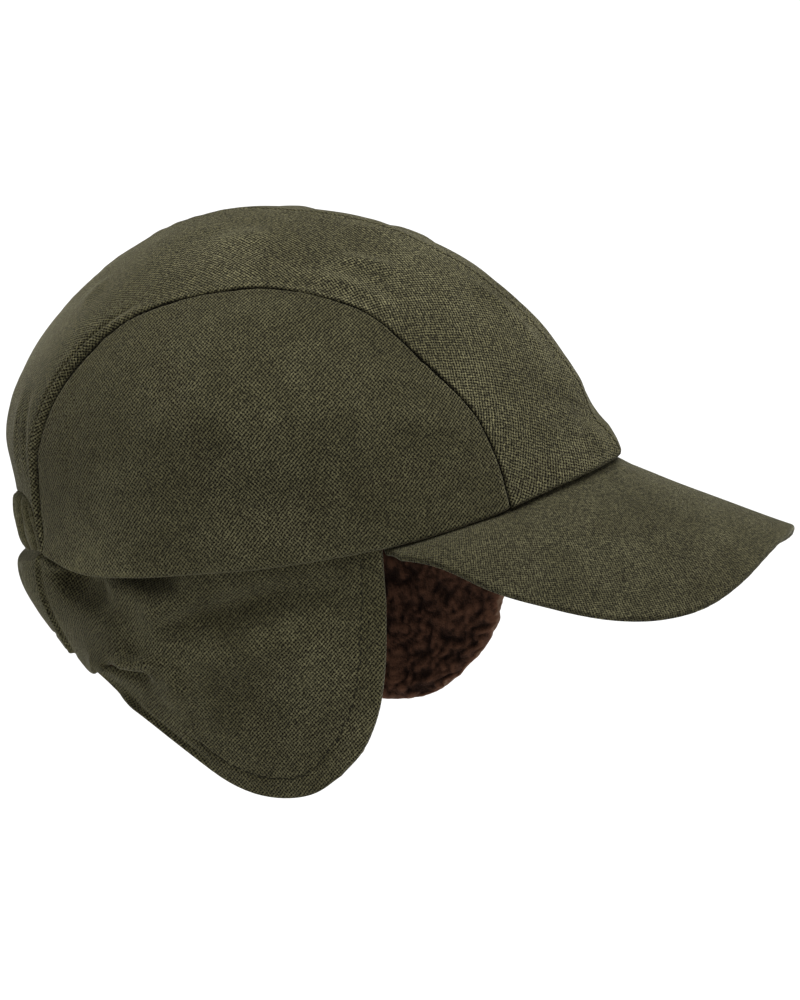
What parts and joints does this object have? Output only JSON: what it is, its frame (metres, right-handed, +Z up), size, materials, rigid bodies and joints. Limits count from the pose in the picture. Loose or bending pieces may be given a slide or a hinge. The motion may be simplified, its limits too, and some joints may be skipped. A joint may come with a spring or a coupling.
{
  "type": "hunting cap",
  "caption": "Olive hunting cap with a curved peak, a crown of top and side panels, a gathered back and ear and neck flaps lined with brown fleece.",
  "frame": {"origin": "middle of the head opening, level with the crown's lower edge over the ears", "axes": "+Z up, -Y forwards out of the peak, +X to the wearer's left"},
  "size_m": [0.176, 0.2747, 0.1882],
  "materials": {
    "olive_cloth": "matt diagonal weave",
    "brown_fleece": "matt curly pile"
  },
  "bodies": {
    "root": {"crown_top_left": "olive_cloth", "crown_top_right": "olive_cloth", "crown_side_left": "olive_cloth", "crown_side_right": "olive_cloth", "back_gather": "olive_cloth", "peak": "olive_cloth", "ear_flap_left": "olive_cloth", "ear_flap_right": "olive_cloth", "neck_flap": "olive_cloth", "ear_lining_left": "brown_fleece", "ear_lining_right": "brown_fleece", "neck_lining": "brown_fleece"}
  },
  "joints": []
}
